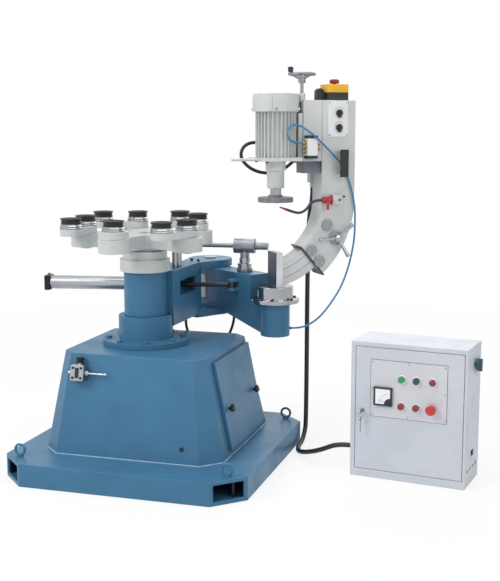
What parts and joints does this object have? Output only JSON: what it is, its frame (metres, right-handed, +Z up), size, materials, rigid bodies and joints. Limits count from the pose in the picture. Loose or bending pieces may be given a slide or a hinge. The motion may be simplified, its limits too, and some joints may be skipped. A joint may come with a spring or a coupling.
{
  "type": "shaped glass edge grinding machine",
  "caption": "Arm-type glass edge grinder: suction turntable on a housed column, jointed arm with an air cylinder, tilting grinding head and a separate control cabinet.",
  "frame": {"origin": "on the turntable's vertical axis at floor level", "axes": "+X to the operator's right, towards the cabinet; +Y away from the operator; +Z up"},
  "size_m": [1.8881, 1.109, 1.6075],
  "materials": {
    "blue_paint": "blue enamel",
    "blue_plinth": "blue enamel",
    "pale_paint": "warm grey enamel",
    "cabinet_paint": "textured pale grey",
    "bare_steel": "machined",
    "chromed": "plated",
    "cast": "cast and machined",
    "black_plastic": "moulded",
    "black_rubber": "moulded",
    "red_plastic": "moulded",
    "green_plastic": "moulded",
    "dark_green_plastic": "moulded",
    "blue_plastic": "drawn hose",
    "dark_steel": "blackened",
    "switch_plastic": "moulded"
  },
  "bodies": {
    "machine_base": {"plinth_frame": "blue_plinth", "base_housing": "blue_paint", "base_bolts": "dark_steel", "lifting_eyes": "blue_paint", "column_base": "blue_paint", "table_gearmotor": "dark_steel", "hand_valve": "cast", "cabinet_shell": "cabinet_paint", "control_gear": "pale_paint", "main_cable_lower": "black_rubber"},
    "access_cover": {"access_cover": "blue_paint"},
    "cover_knob_front": {"cover_knob_front": "black_plastic"},
    "cover_knob_rear": {"cover_knob_rear": "black_plastic"},
    "valve_rod": {"valve_lever": "dark_steel"},
    "turntable": {"table_shaft": "bare_steel", "table_star": "pale_paint"},
    "bar_1": {"pad_bar_1": "pale_paint"},
    "bar_2": {"pad_bar_2": "pale_paint"},
    "bar_3": {"pad_bar_3": "pale_paint"},
    "bar_4": {"pad_bar_4": "pale_paint"},
    "first_arm": {"arm_link": "blue_paint", "arm_pins": "bare_steel", "arm_cable": "black_rubber"},
    "cylinder": {"air_cylinder": "cast"},
    "rod": {"piston_rod": "chromed"},
    "second_arm": {"elbow_link": "blue_paint"},
    "clamp": {"rod_clamp": "bare_steel"},
    "guide": {"guide_rod": "chromed"},
    "swivel": {"swivel_post": "chromed", "arc_rail": "pale_paint", "main_cable_upper": "black_rubber", "air_hose_lower": "blue_plastic"},
    "tilting_head": {"arc_casing": "pale_paint", "roller_caps": "pale_paint", "slide_box": "pale_paint", "head_controls": "pale_paint", "solenoid_valve": "black_plastic", "handle_grip": "black_plastic", "water_tap": "cast", "air_hose_upper": "blue_plastic"},
    "lock": {"lock_handle": "black_plastic"},
    "selector_a": {"selector_upper": "black_plastic"},
    "selector_b": {"selector_lower": "black_plastic"},
    "estop": {"estop_button": "red_plastic"},
    "tap_handle": {"tap_lever": "chromed"},
    "feed_screw": {"handwheel": "chromed"},
    "motor": {"motor_slide": "bare_steel", "motor_body": "cast", "spindle_housing": "bare_steel", "motor_cable": "black_rubber"},
    "spindle": {"spindle_shaft": "bare_steel", "grinding_wheel": "dark_steel"},
    "door": {"cabinet_door": "cabinet_paint"},
    "key": {"key_lock": "chromed"},
    "push_upper_left": {"button_upper_left": "green_plastic"},
    "push_upper_right": {"button_upper_right": "dark_green_plastic"},
    "push_lower_left": {"button_lower_left": "red_plastic"},
    "push_lower_right": {"button_lower_right": "red_plastic"},
    "door_estop": {"cabinet_estop": "red_plastic"},
    "main_switch": {"isolator_knob": "switch_plastic"}
  },
  "joints": [
    {"name": "table_spin", "type": "hinge", "parent": "machine_base", "child": "turntable", "pos_m": [0, 0, 0.883], "axis": [0, 0, 1], "continuous": true},
    {"name": "bar_1_swivel", "type": "hinge", "parent": "turntable", "child": "bar_1", "pos_m": [0.22204, -0.10354, 0.94], "axis": [0, 0, 1], "range_deg": [-20, 20]},
    {"name": "bar_2_swivel", "type": "hinge", "parent": "turntable", "child": "bar_2", "pos_m": [0.16709, 0.17918, 0.94], "axis": [0, 0, 1], "range_deg": [-20, 20]},
    {"name": "bar_3_swivel", "type": "hinge", "parent": "turntable", "child": "bar_3", "pos_m": [-0.11878, 0.21428, 0.94], "axis": [0, 0, 1], "range_deg": [-20, 20]},
    {"name": "bar_4_swivel", "type": "hinge", "parent": "turntable", "child": "bar_4", "pos_m": [-0.2405, -0.04675, 0.94], "axis": [0, 0, 1], "range_deg": [-20, 20]},
    {"name": "arm_swing", "type": "hinge", "parent": "machine_base", "child": "first_arm", "pos_m": [0, 0, 0.6033], "axis": [0, 0, 1], "range_deg": [-30, 30]},
    {"name": "elbow_swing", "type": "hinge", "parent": "first_arm", "child": "second_arm", "pos_m": [0.11791, 0.48003, 0.573], "axis": [0, 0, 1], "range_deg": [-20, 15], "deforming": ["arm_cable"]},
    {"name": "cylinder_swing", "type": "hinge", "parent": "first_arm", "child": "cylinder", "pos_m": [0.02, 0.21, 0.7], "axis": [0, 0, 1], "range_deg": [-10, 8]},
    {"name": "rod_swing", "type": "hinge", "parent": "second_arm", "child": "rod", "pos_m": [0.28993, 0.25995, 0.7], "axis": [0, 0, 1], "range_deg": [-8.5, 11]},
    {"name": "clamp_swivel", "type": "hinge", "parent": "second_arm", "child": "clamp", "pos_m": [0.32852, 0.32588, 0.7517], "axis": [0, 0, 1], "range_deg": [-20, 20]},
    {"name": "guide_rod_slide", "type": "slide", "parent": "clamp", "child": "guide", "axis": [0.9962, 0.0872, 0], "range_m": [-0.06, 0.04]},
    {"name": "head_swivel", "type": "hinge", "parent": "second_arm", "child": "swivel", "pos_m": [0.50008, 0.20032, 0.645], "axis": [0, 0, 1], "range_deg": [-30, 30], "deforming": ["air_hose_lower"]},
    {"name": "bevel_tilt", "type": "hinge", "parent": "swivel", "child": "tilting_head", "pos_m": [0.44258, 0.15699, 1.071], "axis": [0.6018, -0.7986, 0], "range_deg": [-18, 15], "deforming": ["main_cable_upper", "air_hose_upper"]},
    {"name": "lock_turn", "type": "hinge", "parent": "tilting_head", "child": "lock", "pos_m": [0.73715, 0.29845, 0.91126], "axis": [0.6018, -0.7986, 0], "range_deg": [-60, 60]},
    {"name": "selector_upper_turn", "type": "hinge", "parent": "tilting_head", "child": "selector_a", "pos_m": [0.73803, 0.31326, 1.425], "axis": [0.6018, -0.7986, 0], "range_deg": [-45, 45]},
    {"name": "selector_lower_turn", "type": "hinge", "parent": "tilting_head", "child": "selector_b", "pos_m": [0.73803, 0.31326, 1.366], "axis": [0.6018, -0.7986, 0], "range_deg": [-45, 45]},
    {"name": "estop_press", "type": "slide", "parent": "tilting_head", "child": "estop", "axis": [0, 0, -1], "range_m": [0, 0.003], "stiffness_N_per_m": 800, "springref_m": -0.002},
    {"name": "tap_turn", "type": "hinge", "parent": "tilting_head", "child": "tap_handle", "pos_m": [0.70675, 0.25839, 1.0705], "axis": [0.6018, -0.7986, 0], "range_deg": [0, 90]},
    {"name": "handwheel_turn", "type": "hinge", "parent": "tilting_head", "child": "feed_screw", "pos_m": [0.59113, 0.26893, 1.546], "axis": [0, 0, 1], "range_deg": [-1080, 4500]},
    {"name": "head_feed", "type": "slide", "parent": "tilting_head", "child": "motor", "axis": [0, 0, 1], "range_m": [-0.012, 0.05], "deforming": ["motor_cable"]},
    {"name": "spindle_spin", "type": "hinge", "parent": "motor", "child": "spindle", "pos_m": [0.50008, 0.20032, 1.063], "axis": [0, 0, 1], "continuous": true},
    {"name": "valve_pull", "type": "slide", "parent": "machine_base", "child": "valve_rod", "axis": [1, 0, 0], "range_m": [0, 0.01]},
    {"name": "cover_slide", "type": "slide", "parent": "machine_base", "child": "access_cover", "axis": [0.9798, 0, 0.2], "range_m": [0, 0.06]},
    {"name": "cover_knob_front_turn", "type": "hinge", "parent": "access_cover", "child": "cover_knob_front", "pos_m": [0.4121, -0.15, 0.26941], "axis": [0.9798, 0, 0.2], "range_deg": [-90, 90]},
    {"name": "cover_knob_rear_turn", "type": "hinge", "parent": "access_cover", "child": "cover_knob_rear", "pos_m": [0.4121, 0.18, 0.26941], "axis": [0.9798, 0, 0.2], "range_deg": [-90, 90]},
    {"name": "door_swing", "type": "hinge", "parent": "machine_base", "child": "door", "pos_m": [1.31017, -0.07033, 0.279], "axis": [0, 0, 1], "range_deg": [0, 100]},
    {"name": "key_turn", "type": "hinge", "parent": "door", "child": "key", "pos_m": [0.91806, -0.02209, 0.27], "axis": [-0.1392, -0.9903, 0], "range_deg": [0, 90]},
    {"name": "push_upper_left_press", "type": "slide", "parent": "door", "child": "push_upper_left", "axis": [0.1392, 0.9903, 0], "range_m": [0, 0.003], "stiffness_N_per_m": 400, "springref_m": -0.001},
    {"name": "push_lower_left_press", "type": "slide", "parent": "door", "child": "push_lower_left", "axis": [0.1392, 0.9903, 0], "range_m": [0, 0.003], "stiffness_N_per_m": 400, "springref_m": -0.001},
    {"name": "push_upper_right_press", "type": "slide", "parent": "door", "child": "push_upper_right", "axis": [0.1392, 0.9903, 0], "range_m": [0, 0.003], "stiffness_N_per_m": 400, "springref_m": -0.001},
    {"name": "push_lower_right_press", "type": "slide", "parent": "door", "child": "push_lower_right", "axis": [0.1392, 0.9903, 0], "range_m": [0, 0.003], "stiffness_N_per_m": 400, "springref_m": -0.001},
    {"name": "door_estop_press", "type": "slide", "parent": "door", "child": "door_estop", "axis": [0.1392, 0.9903, 0], "range_m": [0, 0.003], "stiffness_N_per_m": 600, "springref_m": -0.001},
    {"name": "main_switch_turn", "type": "hinge", "parent": "machine_base", "child": "main_switch", "pos_m": [1.34918, 0.03982, 0.468], "axis": [0.9903, -0.1392, 0], "range_deg": [0, 90]}
  ],
  "couplings": [
    {"joint": "cylinder_swing", "follows": "elbow_swing", "ratio": 0.467},
    {"joint": "rod_swing", "follows": "elbow_swing", "ratio": -0.533},
    {"joint": "handwheel_turn", "follows": "head_feed", "rad_per_m": 1570.8}
  ]
}
